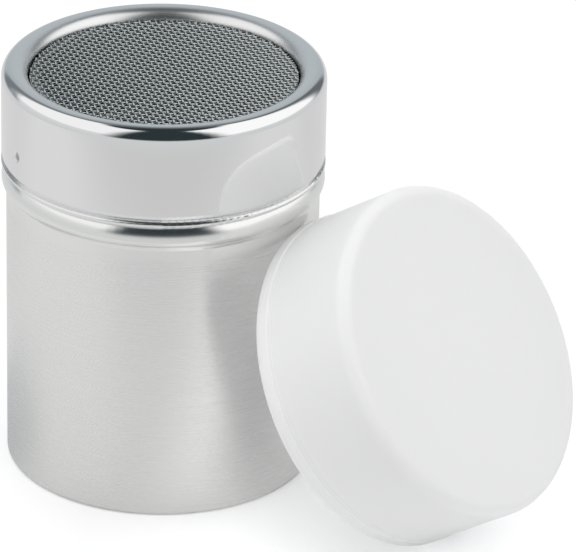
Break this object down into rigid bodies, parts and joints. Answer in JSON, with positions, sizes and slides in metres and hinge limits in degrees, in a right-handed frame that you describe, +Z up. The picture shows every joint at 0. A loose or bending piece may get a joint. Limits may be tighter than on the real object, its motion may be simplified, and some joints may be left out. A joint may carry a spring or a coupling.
{
  "type": "mesh shaker with cap",
  "caption": "Sheet-metal shaker with a slip-on head holding a fine woven-wire disc, and a translucent press-on cap leaning against its side.",
  "frame": {"origin": "centre of the cup's flat base, on the surface it stands on", "axes": "+Z up along the shaker's axis, +X towards the side where the cap stands; the cap leans at the +X -Y side"},
  "size_m": [0.1278, 0.11, 0.0946],
  "materials": {
    "cup_steel": "satin, brushed around the cup",
    "head_steel": "mirror polished stainless steel",
    "ring_steel": "plain pressed sheet",
    "mesh_wire": "drawn wire",
    "cap_plastic": "milky translucent, satin"
  },
  "bodies": {
    "cup": {"cup_body": "cup_steel"},
    "head": {"head_sleeve": "head_steel", "mesh_carrier_ring": "ring_steel", "mesh_warp_wires": "mesh_wire", "mesh_weft_wires": "mesh_wire"},
    "cap": {"cap": "cap_plastic"}
  },
  "joints": [
    {"name": "head_lift", "type": "slide", "parent": "cup", "child": "head", "axis": [0, 0, 1], "range_m": [0, 0.03]},
    {"name": "cap_slide", "type": "slide", "parent": "cup", "child": "cap", "axis": [0.8345, -0.5511, 0], "range_m": [0, 0.06]}
  ]
}
